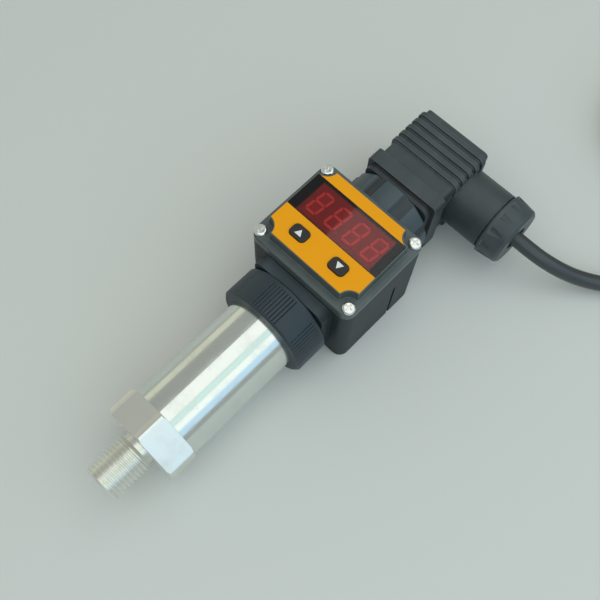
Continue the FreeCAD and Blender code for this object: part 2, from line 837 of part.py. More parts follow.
module = new_body("display_module", HEAD)
sketch = sketch_on(module, "XY", display_top)
half_module = S.module_width / 2
outline(sketch, rectangle(window_x - half_module, window_x + half_module, -module_y, module_y))
pad(module, sketch, S.module_height)

DIGITS = 4


def bar(start, finish, width):
    """A segment of a digit: a flat bar from start to finish with pointed ends."""
    way = (finish - start).normalize()
    side = FreeCAD.Vector(-way.y, way.x, 0) * (width / 2)
    tip = way * (width / 2)
    points = [start, start + tip + side, finish - tip + side, finish, finish - tip - side, start + tip - side]
    return Part.Face(Part.makePolygon(points + points[:1]))


def digit_segments(centre_y):
    """The seven bars of one digit and its point, read with +X upwards and -Y to the right."""
    high = S.digit_height.value / 2 - S.segment_width.value / 2
    wide = S.digit_width.value / 2 - S.segment_width.value / 2
    slant = DIMENSIONS["digit_slant"]

    def node(row, column):
        """A corner of the digit's frame: row 1 is its top, column 1 its right side."""
        y = centre_y - wide * column - high * row * slant
        return FreeCAD.Vector(window_x.value + high * row, y, 0)

    faces = []
    for (r0, c0), (r1, c1) in (
        ((1, -1), (1, 1)), ((0, -1), (0, 1)), ((-1, -1), (-1, 1)),
        ((-1, -1), (0, -1)), ((0, -1), (1, -1)), ((-1, 1), (0, 1)), ((0, 1), (1, 1)),
    ):
        start = node(r0, c0)
        finish = node(r1, c1)
        inset = (finish - start).normalize() * S.segment_gap.value
        faces.append(bar(start + inset, finish - inset, S.segment_width.value))
    dot_spot = node(-1, 1) + FreeCAD.Vector(0, -S.dot_offset.value, 0)
    faces.append(Part.Face(Part.Wire(Part.Circle(
        dot_spot, FreeCAD.Vector(0, 0, 1), S.dot_radius.value,
    ).toShape())))
    return faces


segments = []
for i in range(DIGITS):
    middle = (S.digit_width + S.digit_gap).value * ((DIGITS - 1) / 2 - i) - S.segment_width.value / 2
    for face in digit_segments(middle):
        segments.append(face.extrude(FreeCAD.Vector(0, 0, S.segment_thickness.value)))
digits = doc.addObject("Part::Feature", "display_segments")
digits.Label = "display_segments"
digits.Shape = Part.Compound(segments)
digits_frame = (HEAD[0], HEAD[1], HEAD[2] + module_top, 0)
place(digits, digits_frame)


def circuit_board(label, bottom, rear_room):
    """A board between the head's front wall and the room that is kept free at its rear."""
    body = new_body(label, HEAD)
    sketch = sketch_on(body, "XY", bottom)
    reach = inner_length / 2 - S.free_clearance
    side = screw_y - S.boss_radius - S.free_clearance
    outline(sketch, rectangle(-reach, reach - rear_room, -side, side))
    pad(body, sketch, S.board_thickness)


display_board_bottom = display_top - S.board_thickness
main_board_bottom = -S.main_board_drop
main_board_top = main_board_bottom + S.board_thickness
circuit_board("display_board", display_board_bottom, ZERO)
circuit_board("main_board", main_board_bottom, S.lock_nut_length * 2)
header = new_body("board_header", HEAD)
sketch = sketch_on(header, "XY", main_board_top)
header_x = S.header_inset - inner_length / 2
half_header = S.header_length / 2
outline(sketch, rectangle(header_x, header_x + S.header_width, -half_header, half_header))
pad(header, sketch, display_board_bottom - main_board_top)

# --- keys: caps that stand through the label and press the switches on the display board ------------

switches = new_body("key_switches", HEAD)
sketch = sketch_on(switches, "XY", display_top)
half_switch = S.switch_side / 2
for side in KEY_SPOTS.values():
    y = S.key_spacing / 2 * side
    outline(sketch, rectangle(-S.key_row - half_switch, -S.key_row + half_switch, y - half_switch, y + half_switch))
pad(switches, sketch, S.switch_height)
switch_top = display_top + S.switch_height
stem_bottom = switch_top + S.key_travel + S.running_clearance
flange_top = platform_top - S.head_wall - S.running_clearance
flange_bottom = flange_top - S.key_flange_thickness
key_top = platform_top + S.label_thickness + S.key_proud
for name, side in KEY_SPOTS.items():
    y = S.key_spacing / 2 * side
    key = new_body(name, HEAD)
    sketch = sketch_on(key, "XY", flange_bottom)
    outline(sketch, key_outline(side, S.key_flange))
    pad(key, sketch, S.key_flange_thickness)
    sketch = sketch_on(key, "XY", flange_bottom)
    outline(sketch, key_outline(side, ZERO))
    cap = pad(key, sketch, key_top - flange_bottom)
    round_off(key, cap, lambda e: e.BoundBox.ZMin > key_top.value - 0.1, S.key_edge)
    sketch = sketch_on(key, "XY", stem_bottom)
    ring(sketch, -S.key_row, y, S.key_stem_radius)
    pad(key, sketch, flange_bottom - stem_bottom + S.key_flange_thickness / 2)
    arrow = new_body(f"{name}_arrow", HEAD)
    sketch = sketch_on(arrow, "XY", key_top)
    tip = -S.key_row + S.arrow_height / 2 * side
    foot = -S.key_row - S.arrow_height / 2 * side
    half_arrow = S.arrow_width / 2 * side
    outline(sketch, [(tip, y), (foot, y + half_arrow), (foot, y - half_arrow)])
    pad(arrow, sketch, S.arrow_thickness)


# --- rear plug base: a threaded shank through the head's wall, with a square plate ------------------

plate_rear = plug_front - S.flat_seal_thickness
plate_front = plate_rear - S.rear_plate_thickness
wall_inside = head_rear - S.head_wall
shank_front = wall_inside - S.lock_nut_length
screw_hole = S.plug_screw_radius + S.running_clearance
rear_base = turned("rear_plug_base", MAIN, [
    (shank_front, S.shank_bore_radius),
    (shank_front, S.shank_radius),
    (plate_rear, S.shank_radius),
    (plate_rear, screw_hole),
    (plate_front - S.shank_floor, screw_hole),
    (plate_front - S.shank_floor, S.shank_bore_radius),
])
sketch = sketch_on(rear_base, "YZ", plate_front)
outline(sketch, centred(S.rear_plate_side, S.rear_plate_side, S.rear_plate_corner))
ring(sketch, ZERO, ZERO, screw_hole)
pad(rear_base, sketch, S.rear_plate_thickness)
blade_root = plate_front + S.blade_seat
blade_slots(rear_base, blade_root, S.rear_plate_thickness)
blades("rear_contact_blades", blade_root, S.blade_length + S.rear_plate_thickness)

lock_nut = new_body("shank_lock_nut", MAIN)
sketch = sketch_on(lock_nut, "YZ", shank_front)
outline(sketch, polygon(S.lock_nut_across_flats / 2 / math.cos(math.radians(30)), 30, 6))
ring(sketch, ZERO, ZERO, S.shank_radius + S.slip_clearance)
pad(lock_nut, sketch, S.lock_nut_length)

# --- coupling nut: eight lands with hollow flutes between them --------------------------------------

LANDS = 8
FIRST_LAND = 90.0
nut_front = head_rear + S.coupling_end_gap
nut_rear = plate_front - S.coupling_end_gap
nut_edge = S.coupling_end_gap * 2
coupling = turned("coupling_nut", MAIN, [
    (nut_front, S.shank_radius + S.running_clearance),
    (nut_front, S.coupling_radius - nut_edge),
    (nut_front + nut_edge, S.coupling_radius),
    (nut_rear - nut_edge, S.coupling_radius),
    (nut_rear, S.coupling_radius - nut_edge),
    (nut_rear, S.shank_radius + S.running_clearance),
])
sketch = sketch_on(coupling, "YZ", nut_front)
cutter_distance = S.coupling_radius - S.coupling_flute_depth + S.flute_cutter_radius
ring(sketch, *spot(cutter_distance, FIRST_LAND + 180 / LANDS), S.flute_cutter_radius)
flute = pocket(coupling, sketch, nut_rear - nut_front, reverse=True)
repeat(coupling, flute, "PolarPattern", "X", LANDS)

flat_seal = new_body("flat_seal", MAIN)
sketch = sketch_on(flat_seal, "YZ", plate_rear)
outline(sketch, centred(S.rear_plate_side, S.rear_plate_side, S.rear_plate_corner))
ring(sketch, ZERO, ZERO, S.flat_seal_hole)
pad(flat_seal, sketch, S.flat_seal_thickness)

# --- plug housing: flange, ribbed block and gland boss in one moulding ------------------------------

RIBS = 5
GLAND_X = S.plug_length - S.gland_back
plug = new_body("plug_housing", PLUG)
sketch = sketch_on(plug, "YZ")
outline(sketch, centred(S.plug_flange_width, S.plug_flange_rise * 2, S.plug_corner))
pad(plug, sketch, S.plug_flange_length)
sketch = sketch_on(plug, "YZ", S.plug_flange_length)
outline(sketch, centred(S.plug_width, S.plug_rise * 2, S.plug_corner))
pad(plug, sketch, S.plug_length - S.plug_flange_length)
rib_span = S.plug_rib_pitch * (RIBS - 1)
sketch = sketch_on(plug, "YZ", S.plug_length - S.plug_rib_inset - S.plug_rib_width / 2 - rib_span)
rib_wide = S.plug_width + S.plug_rib_height * 2
rib_tall = (S.plug_rise + S.plug_rib_height) * 2
outline(sketch, centred(rib_wide, rib_tall, S.plug_corner + S.plug_rib_height))
rib = pad(plug, sketch, S.plug_rib_width)
repeat(plug, rib, "LinearPattern", "X", RIBS, rib_span)
boss_start = S.plug_width / 2 - S.plug_wall / 2
sketch = sketch_on(plug, "XZ", boss_start)
ring(sketch, GLAND_X, ZERO, S.boss_outer_radius)
pad(plug, sketch, S.boss_reach - boss_start)
sketch = sketch_on(plug, "XZ", S.boss_reach)
ring(sketch, GLAND_X, ZERO, S.gland_thread_radius)
pad(plug, sketch, S.gland_thread_length)
cavity_wide = S.plug_width - S.plug_wall * 2
cavity_tall = (S.plug_rise - S.plug_wall) * 2
sketch = sketch_on(plug, "YZ")
outline(sketch, centred(cavity_wide, cavity_tall))
pocket(plug, sketch, S.plug_length - S.plug_wall * 2, reverse=True)
thread_end = S.boss_reach + S.gland_thread_length
sketch = sketch_on(plug, "XZ", thread_end)
ring(sketch, GLAND_X, ZERO, S.gland_bore_radius)
pocket(plug, sketch, thread_end - cavity_wide / 2)
sketch = sketch_on(plug, "YZ", S.plug_length)
ring(sketch, ZERO, ZERO, S.plug_screw_head_radius + S.free_clearance)
pocket(plug, sketch, S.plug_screw_recess)
sketch = sketch_on(plug, "YZ", S.plug_length)
ring(sketch, ZERO, ZERO, S.plug_screw_radius + S.slip_clearance)
pocket(plug, sketch, S.plug_wall * 2 + S.slip_clearance)

insert = new_body("plug_insert", PLUG)
sketch = sketch_on(insert, "YZ")
outline(sketch, centred(cavity_wide - S.slip_clearance * 2, cavity_tall - S.slip_clearance * 2))
ring(sketch, ZERO, ZERO, S.plug_screw_radius + S.slip_clearance)
pad(insert, sketch, S.insert_length)
blade_slots(insert, ZERO, S.insert_length)

# --- plug screw: goes through the plug and holds it on the rear base --------------------------------

recess_floor = S.plug_length - S.plug_screw_recess
head_under = recess_floor + S.ring_seal_section
screw_front = -(S.flat_seal_thickness + S.rear_plate_thickness + S.shank_floor)
plug_screw = turned("plug_screw", PLUG, [
    (screw_front, ZERO),
    (screw_front, S.plug_screw_radius),
    (head_under, S.plug_screw_radius),
    (head_under, S.plug_screw_head_radius),
    (head_under + S.plug_screw_head_height, S.plug_screw_head_radius),
    (head_under + S.plug_screw_head_height, ZERO),
])
sketch = sketch_on(plug_screw, "YZ", head_under + S.plug_screw_head_height)
outline(sketch, centred(S.plug_screw_slot, S.plug_screw_head_radius * 2 + S.plug_screw_slot))
pocket(plug_screw, sketch, S.plug_screw_head_height / 2)
turned("plug_screw_seal", PLUG, [
    (recess_floor, S.plug_screw_radius + S.slip_clearance),
    (recess_floor, S.plug_screw_head_radius),
    (head_under, S.plug_screw_head_radius),
    (head_under, S.plug_screw_radius + S.slip_clearance),
])

# --- cable gland: rubber seal, washer and lobed nut on the boss -------------------------------------

GLAND_FLUTES = 12
cable_hole = S.cable_radius + S.cable_entry_gap
turned("gland_seal", GLAND, [
    (thread_end - S.gland_seal_length, S.cable_radius),
    (thread_end - S.gland_seal_length, S.gland_bore_radius - S.running_clearance),
    (thread_end, S.gland_bore_radius - S.running_clearance),
    (thread_end, S.cable_radius),
])
turned("gland_washer", GLAND, [
    (thread_end, cable_hole),
    (thread_end, S.gland_thread_radius - S.slip_clearance),
    (thread_end + S.gland_washer_thickness, S.gland_thread_radius - S.slip_clearance),
    (thread_end + S.gland_washer_thickness, cable_hole),
])
nut_floor = nut_end - S.gland_nut_wall
nut_bore = S.gland_thread_radius + S.running_clearance
gland_nut = turned("gland_nut", GLAND, [
    (nut_start, nut_bore),
    (nut_start, S.gland_nut_radius),
    (nut_end - S.gland_nut_wall / 2, S.gland_nut_radius - S.gland_nut_taper),
    (nut_end, S.gland_nut_radius - S.gland_nut_wall / 2 - S.gland_nut_taper),
    (nut_end, cable_hole),
    (nut_floor, cable_hole),
    (nut_floor, nut_bore),
])
sketch = sketch_on(gland_nut, "YZ", nut_start + S.gland_nut_gap)
flute_spot = spot(S.gland_nut_radius + S.gland_flute_radius - S.gland_flute_depth, 180 / GLAND_FLUTES)
ring(sketch, *flute_spot, S.gland_flute_radius)
flute = pocket(gland_nut, sketch, S.gland_nut_length, reverse=True)
repeat(gland_nut, flute, "PolarPattern", "X", GLAND_FLUTES)

# --- cable: a round lead that leaves the gland, sinks to the table and goes into its coil -----------

# The route's points, from the gland's own origin (X along the transmitter, Z up from its axis)
ROUTE = [
    (0.0, -22.0, 0.0), (0.0, -36.5, 0.0), (2.6, -50.2, -4.6), (10.4, -62.8, -12.0),
    (21.8, -76.6, -14.75), (41.5, -87.0, -14.95), (71.5, -92.3, -14.95), (95.8, -91.95, -14.95),
]
ARC_SHARE = 0.45


def tube_path(points):
    """Straight runs joined by tangent arcs, each as large as its two runs allow."""
    edges = []
    radii = []
    start = points[0]
    for before, corner, after in zip(points, points[1:], points[2:]):
        back = before - corner
        onward = after - corner
        reach = ARC_SHARE * min(back.Length, onward.Length)
        back.normalize()
        onward.normalize()
        half_turn = (math.pi - back.getAngle(onward)) / 2
        radius = reach / math.tan(half_turn)
        towards_centre = (back + onward).normalize()
        middle = corner + towards_centre * (radius / math.cos(half_turn) - radius)
        arc_start = corner + back * reach
        arc_end = corner + onward * reach
        edges.append(Part.LineSegment(start, arc_start).toShape())
        edges.append(Part.Arc(arc_start, middle, arc_end).toShape())
        radii.append(radius)
        start = arc_end
    edges.append(Part.LineSegment(start, points[-1]).toShape())
    return Part.Wire(edges), radii


cable_points = [FreeCAD.Vector(*point) for point in ROUTE]
path, radii = tube_path(cable_points)
first_way = (cable_points[1] - cable_points[0]).normalize()
section = Part.Wire(Part.Circle(cable_points[0], first_way, S.cable_radius.value).toShape())
cable = doc.addObject("Part::Feature", "cable")
cable.Label = "cable"
cable.Shape = path.makePipeShell([section], True, False)
cable_frame = (GLAND[0], GLAND[1], GLAND[2], 0)
place(cable, cable_frame)
print("cable bend radii", [round(radius, 1) for radius in radii])
expected = math.pi * S.cable_radius.value**2 * path.Length
if abs(cable.Shape.Volume / expected - 1) > 0.01:
    raise RuntimeError("the cable's volume doesn't fit its section and length")

# The coil lies beside the route's last point, which touches its outermost turn
TURNS_ACROSS = 3
TURNS_UP = 2
last_way = (cable_points[-1] - cable_points[-2]).normalize()
outer_turn = S.coil_middle_radius + S.cable_radius * (TURNS_ACROSS - 1)
coil_x = as_size(ROUTE[-1][0]) - outer_turn * last_way.y
coil_y = as_size(ROUTE[-1][1]) + outer_turn * last_way.x
coil_low = S.coil_lift - S.head_drop
coil_height = S.cable_radius * 2 * TURNS_UP
COIL = (GLAND[0] + coil_x, GLAND[1] + coil_y, GLAND[2] + coil_low, 0)
coil = new_body("cable_coil", COIL)
sketch = sketch_on(coil, "XY")
coil_half = S.cable_radius * TURNS_ACROSS
ring(sketch, ZERO, ZERO, S.coil_middle_radius + coil_half)
ring(sketch, ZERO, ZERO, S.coil_middle_radius - coil_half)
ring_pad = pad(coil, sketch, coil_height)
round_off(coil, ring_pad, lambda e: True, S.coil_edge)

tie = new_body("coil_tie", COIL)
sketch = sketch_on(tie, "XZ", -S.tie_width / 2)
tie_gap = S.slip_clearance
left = S.coil_middle_radius - coil_half - tie_gap
right = S.coil_middle_radius + coil_half + tie_gap
band = S.tie_thickness
outline(sketch, rectangle(left, right, -tie_gap, coil_height + tie_gap))
outline(sketch, rectangle(left - band, right + band, -tie_gap - band, coil_height + tie_gap + band, band))
pad(tie, sketch, S.tie_width)

cores = new_body("cable_cores", COIL)
sketch = sketch_on(cores, "XZ", -S.free_end_reach - S.core_length)
for side in (-1, 1):
    ring(sketch, outer_turn + S.core_spacing / 2 * side, coil_height - S.cable_radius, S.core_radius)
pad(cores, sketch, S.core_length * 2)


# --- checks and export ------------------------------------------------------------------------------

doc.recompute()
for item in doc.Objects:
    if {"Invalid", "Error"} & set(item.State):
        raise RuntimeError(f"{item.Label}: {item.State}")
pieces = [item for item in doc.RootObjects if item.isDerivedFrom("Part::Feature")]
os.makedirs("parts", exist_ok=True)
for piece in pieces:
    shape = piece.Shape
    if shape.isNull() or not shape.isValid() or not shape.Solids:
        raise RuntimeError(f"{piece.Label} has no valid solid")
    shape.exportStep(f"parts/{piece.Label}.step")
print(len(pieces), "pieces")
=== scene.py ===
"""Pressure transmitter with a plug-in display head: its looks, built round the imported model.

Metres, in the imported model's own frame: the axis runs along X with the thread at -X, the display
looks up and the cable leaves towards -Y. The sections follow the transmitter as it is assembled.
"""

import math

import bmesh
import bpy
import numpy as np
from mathutils import Matrix, Vector


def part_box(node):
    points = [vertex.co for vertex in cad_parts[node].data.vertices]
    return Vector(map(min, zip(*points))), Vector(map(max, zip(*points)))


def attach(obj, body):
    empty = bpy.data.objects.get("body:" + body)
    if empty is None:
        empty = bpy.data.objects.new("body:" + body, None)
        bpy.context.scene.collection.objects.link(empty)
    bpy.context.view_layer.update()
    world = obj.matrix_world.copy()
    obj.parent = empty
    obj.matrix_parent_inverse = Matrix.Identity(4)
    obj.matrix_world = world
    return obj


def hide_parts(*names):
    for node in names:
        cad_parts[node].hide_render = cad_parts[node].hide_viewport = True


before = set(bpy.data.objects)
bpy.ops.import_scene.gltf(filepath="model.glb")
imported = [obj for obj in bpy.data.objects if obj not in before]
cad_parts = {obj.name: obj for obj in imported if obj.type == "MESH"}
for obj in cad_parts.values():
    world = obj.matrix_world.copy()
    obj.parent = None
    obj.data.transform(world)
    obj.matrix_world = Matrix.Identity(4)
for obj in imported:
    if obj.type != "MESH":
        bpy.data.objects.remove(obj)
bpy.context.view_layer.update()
MM = 0.001

# --- camera ---------------------------------------------------------------------------------------
# A short telephoto view from over the thread's side, steep enough to look down on the display.

CAMERA_PLACE = Vector((-0.07449, -0.05979, 0.2665))
CAMERA_RIGHT = Vector((0.69461, -0.71906, 0.02192))
CAMERA_UP = Vector((0.65969, 0.64882, 0.37926))
CAMERA_LENS = 49.54
NEAREST_SEEN = 0.01
FARTHEST_SEEN = 10
camera_data = bpy.data.cameras.new("camera")
camera_data.lens = CAMERA_LENS
camera_data.clip_start = NEAREST_SEEN
camera_data.clip_end = FARTHEST_SEEN
camera = bpy.data.objects.new("camera", camera_data)
bpy.context.scene.collection.objects.link(camera)
camera_back = CAMERA_RIGHT.cross(CAMERA_UP)
turn = Matrix((CAMERA_RIGHT, CAMERA_UP, camera_back)).transposed()
camera.matrix_world = Matrix.Translation(CAMERA_PLACE) @ turn.to_4x4()
bpy.context.scene.camera = camera

# --- cable ----------------------------------------------------------------------------------------
# A round two-core lead with a black PVC sheath, 5.5 mm thick. It leaves the gland, bends down to
# the table, and what isn't in use is wound into a coil of two layers, held by a nylon tie.


def add(tree, kind, sockets=None, **settings):
    """Adds a node: settings are its own properties, and sockets are its inputs by name or number,
    each a plain value or another node's output."""
    node = tree.nodes.new("ShaderNode" + kind)
    for name, value in settings.items():
        setattr(node, name, value)
    for name, value in (sockets or {}).items():
        if isinstance(value, bpy.types.NodeSocket):
            tree.links.new(value, node.inputs[name])
        else:
            node.inputs[name].default_value = value
    return node


def blend_colours(tree, share, first, second):
    """The output that goes from the first colour to the second as share goes from 0 to 1."""
    return add(tree, "Mix", {0: share, 6: first, 7: second}, data_type="RGBA").outputs[2]


def math_of(tree, operation, *values, **settings):
    """The output of a Math node over up to three values."""
    return add(tree, "Math", dict(enumerate(values)), operation=operation, **settings).outputs[0]


def spread(tree, value, low, high):
    """The output that maps a value from 0...1 to low...high."""
    return add(tree, "MapRange", {"Value": value, "To Min": low, "To Max": high}).outputs[0]


def new_effect(name, inputs, outputs):
    """An empty shader node group. inputs is {socket name: (kind, default)}, outputs {name: kind}."""
    group = bpy.data.node_groups.new(name, "ShaderNodeTree")
    for socket, (kind, default) in inputs.items():
        made = group.interface.new_socket(socket, in_out="INPUT", socket_type="NodeSocket" + kind)
        made.default_value = default
    for socket, kind in outputs.items():
        group.interface.new_socket(socket, in_out="OUTPUT", socket_type="NodeSocket" + kind)
    return group, group.nodes.new("NodeGroupInput").outputs, group.nodes.new("NodeGroupOutput").inputs


CLOUD_SCALE = 90.0
CLOUD_SHARE = 0.25
EDGE_STARTS = 0.99
EDGE_FULL = 0.80
EDGE_RAGGED = 0.02
BEVEL_SAMPLES = 6
# How sharply the painted light from above fades as a face turns away from looking up
TOP_LIGHT_POWER = 4.0


def moulded_effect():
    """Moulded plastic, rubber or print: fine grain, faint cloudiness, faces that look up painted paler
    as painted light from above, and edges that are a little rounded and painted paler, partly as wear
    from handling and partly as a painted highlight. The edge mask is one minus the dot product of the
    surface's own normal and a normal that is averaged over the edge's width. The painted top light's
    mask is the upward part of the piece's normal to the fourth power."""
    group, given, made = new_effect("moulded surface", {
        "Colour": ("Color", (0.02, 0.02, 0.02, 1)),
        "Edge Colour": ("Color", (0.1, 0.1, 0.1, 1)),
        "Edge Width": ("Float", 0.0003),
        "Grain Size": ("Float", 0.0003),
        "Grain Depth": ("Float", 0.00001),
        "Roughness": ("Float", 0.45),
        "Painted Top Light": ("Float", 0.0),
    }, {"Colour": "Color", "Roughness": "Float", "Normal": "Vector"})
    place = add(group, "TexCoord").outputs["Object"]
    facing = add(group, "TexCoord").outputs["Normal"]
    scale = math_of(group, "DIVIDE", 1.0, given["Grain Size"])
    grain = add(group, "TexNoise", {"Vector": place, "Scale": scale, "Detail": 2.0}).outputs["Fac"]
    cloud = add(group, "TexNoise", {"Vector": place, "Scale": CLOUD_SCALE, "Detail": 3.0}).outputs["Fac"]
    soft = add(group, "Bevel", {"Radius": given["Edge Width"]}, samples=BEVEL_SAMPLES).outputs["Normal"]
    own = add(group, "NewGeometry").outputs["Normal"]
    along = add(group, "VectorMath", {0: soft, 1: own}, operation="DOT_PRODUCT").outputs["Value"]
    edge = add(group, "MapRange", {
        "Value": math_of(group, "ADD", along, math_of(group, "MULTIPLY", grain, EDGE_RAGGED)),
        "From Min": EDGE_STARTS, "From Max": EDGE_FULL, "To Min": 0.0, "To Max": 1.0,
    }).outputs[0]
    clouded = blend_colours(group, math_of(group, "MULTIPLY", cloud, CLOUD_SHARE), given["Colour"],
                            given["Edge Colour"])
    # Upward faces are painted paler, as painted light from above.
    upward = math_of(group, "MAXIMUM", add(group, "SeparateXYZ", {"Vector": facing}).outputs["Z"], 0.0)
    painted_top_light = math_of(group, "MULTIPLY", math_of(group, "POWER", upward, TOP_LIGHT_POWER), given["Painted Top Light"])
    top_lit_colour = blend_colours(group, math_of(group, "MULTIPLY", painted_top_light, spread(group, cloud, 0.7, 1.3)),
                           clouded, given["Edge Colour"])
    # Edges are painted paler, partly as wear from handling and partly as a painted highlight.
    worn_and_highlit = math_of(group, "MULTIPLY", edge, spread(group, cloud, 0.25, 0.95), use_clamp=True)
    group.links.new(blend_colours(group, worn_and_highlit, top_lit_colour, given["Edge Colour"]), made["Colour"])
    rough = math_of(group, "ADD", given["Roughness"], spread(group, cloud, -0.08, 0.08))
    group.links.new(math_of(group, "ADD", rough, spread(group, grain, -0.04, 0.04)), made["Roughness"])
    bump = add(group, "Bump", {"Height": grain, "Distance": given["Grain Depth"], "Normal": soft})
    group.links.new(bump.outputs["Normal"], made["Normal"])
    return group


MOULDED = moulded_effect()


def new_material(name, effect, values, **constants):
    """A material of one Principled shader, fed by an effect with its own values. constants are
    sockets of the shader that are the same all over, with _ for a space in their names."""
    material = bpy.data.materials.new(name)
    material.use_nodes = True
    tree = material.node_tree
    shader = tree.nodes["Principled BSDF"]
    for socket, value in constants.items():
        shader.inputs[socket.replace("_", " ")].default_value = value
    look = add(tree, "Group", node_tree=effect)
    for socket, value in values.items():
        look.inputs[socket].default_value = value
    for here, there in (("Colour", "Base Color"), ("Roughness", "Roughness"), ("Normal", "Normal")):
        tree.links.new(look.outputs[here], shader.inputs[there])
    return material


def moulded(name, colour, edge, roughness, grain=0.3, depth=0.01, width=0.25, painted_top_light=0.0, **constants):
    """A moulded material; grain size, depth and edge width in millimetres, and as a share how much
    upward faces are painted paler as painted light from above.
    """
    return new_material(name, MOULDED, {
        "Colour": (*colour, 1), "Edge Colour": (*edge, 1), "Roughness": roughness,
        "Grain Size": grain * MM, "Grain Depth": depth * MM, "Edge Width": width * MM, "Painted Top Light": painted_top_light,
    }, **constants)


def shade_in(material, shades):
    """Feeds a colour output to a material's effect in place of its plain colour."""
    tree = material.node_tree
    look = next(node for node in tree.nodes if node.type == "GROUP")
    tree.links.new(shades, look.inputs["Colour"])
    return material


def finish_in(material, *nodes):
    """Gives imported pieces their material."""
    for name in nodes:
        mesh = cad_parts[name].data
        mesh.materials.clear()
        mesh.materials.append(material)


def middle(node):
    """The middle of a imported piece's box."""
    low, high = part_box(node)
    return (low + high) / 2


axis = middle("housing_tube")
gland_foot = Vector((middle("gland_nut").x, axis.y, axis.z))
CABLE_RADIUS = 2.75 * MM
ROUTE = [
    (0.0, -22.0, 0.0), (0.0, -36.5, 0.0), (2.6, -50.2, -4.6), (10.4, -62.8, -12.0),
    (21.8, -76.6, -14.75), (41.5, -87.0, -14.95), (71.5, -92.3, -14.95), (95.8, -91.95, -14.95),
]
coil_centre = middle("cable_coil")
COIL_START = 270.8
COIL_END = 2160.0
POINTS_A_TURN = 24
TIE_LIFT = 0.95
LIFT_SHARPNESS = 6
DENT_DEPTH = 3.0
DENT_ANGLE = 126.0
# How far round the coil each change of turn begins and ends, with the turn's radius and height
TURN_ANGLES = [270.8, 550, 585, 910, 945, 1210, 1265, 1535, 1570, 1895, 1930, 2160]
TURN_RADII = [34.5, 34.5, 29.0, 29.0, 23.5, 23.5, 23.5, 23.5, 29.0, 29.0, 34.5, 34.5]
TURN_HEIGHTS = [2.85, 2.75, 2.75, 2.75, 2.75, 2.75, 8.3, 8.3, 8.3, 8.3, 8.3, 8.3]
FREE_END = [5.0, 10.0, 15.0, 20.0]


def coil_points():
    """The coil's points: round its middle, with radius and height read off the table of turns at
    each angle. All turns are pushed in on one side by the dent's depth times the squared cosine of
    the angle from it, and lifted by a bell-shaped amount where the coil lies on its tie."""
    steps = round((COIL_END - COIL_START) / 360 * POINTS_A_TURN)
    angle = np.linspace(COIL_START, COIL_END, steps + 1)[1:]
    turned = np.radians(angle)
    dent = DENT_DEPTH * np.clip(np.cos(turned - math.radians(DENT_ANGLE)), 0, 1) ** 2
    radius = np.interp(angle, TURN_ANGLES, TURN_RADII) / math.cos(math.pi / POINTS_A_TURN) - dent
    lift = TIE_LIFT * np.clip(np.cos(turned), 0, 1) ** LIFT_SHARPNESS
    height = np.interp(angle, TURN_ANGLES, TURN_HEIGHTS) + lift
    round_it = np.stack([radius * np.cos(turned), radius * np.sin(turned), height], axis=1)
    straight = [(TURN_RADII[-1], y, round_it[-1, 2]) for y in FREE_END]
    points = np.concatenate([round_it, straight]) * MM
    return points + np.array([coil_centre.x, coil_centre.y, 0])


route = np.array(ROUTE) * MM + np.array(gland_foot)
cable_points = np.concatenate([route, coil_points()])
cable_line = bpy.data.curves.new("cable_sheath", "CURVE")
cable_line.dimensions = "3D"
strand = cable_line.splines.new("NURBS")
strand.points.add(len(cable_points) - 1)
strand.points.foreach_set("co", np.column_stack([cable_points, np.ones(len(cable_points))]).ravel())
strand.order_u = 3
strand.use_endpoint_u = True
cable_line.resolution_u = 6
cable_line.bevel_depth = CABLE_RADIUS
cable_line.bevel_resolution = 6
cable_line.use_fill_caps = True
cable = bpy.data.objects.new("cable_sheath", cable_line)
bpy.context.scene.collection.objects.link(cable)
cable_line.materials.append(moulded(
    "pvc sheath", (0.022, 0.029, 0.033), (0.09, 0.10, 0.10), 0.33, grain=0.5, depth=0.015, width=0.1,
    Specular_IOR_Level=0.7,
))
finish_in(moulded("nylon tie", (0.02, 0.02, 0.022), (0.12, 0.12, 0.12), 0.4), "coil_tie")


def core_material():
    """Two insulated cores, one brown and one blue, told apart by which side of the pair they lie."""
    material = moulded("core insulation", (0.2, 0.2, 0.2), (0.3, 0.3, 0.3), 0.35, width=0.1)
    tree = material.node_tree
    place = add(tree, "TexCoord").outputs["Object"]
    across = add(tree, "SeparateXYZ", {"Vector": place}).outputs["X"]
    side = math_of(tree, "GREATER_THAN", across, middle("cable_cores").x)
    return shade_in(material, blend_colours(tree, side, (0.16, 0.055, 0.02, 1), (0.02, 0.1, 0.42, 1)))


finish_in(core_material(), "cable_cores")
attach(cable, "transmitter")
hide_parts("cable", "cable_coil")

# --- process connection ---------------------------------------------------------------------------
# One bar of stainless steel, turned and milled: a G 1/4 thread of 19 turns to the inch, a
# relief groove, the 27 mm hexagon and, hidden in the tube, the spigot with the pressure cell's seat.

STAIN_SCALE = 130.0
STAIN_STARTS = 0.48
STAIN_FULL = 0.72


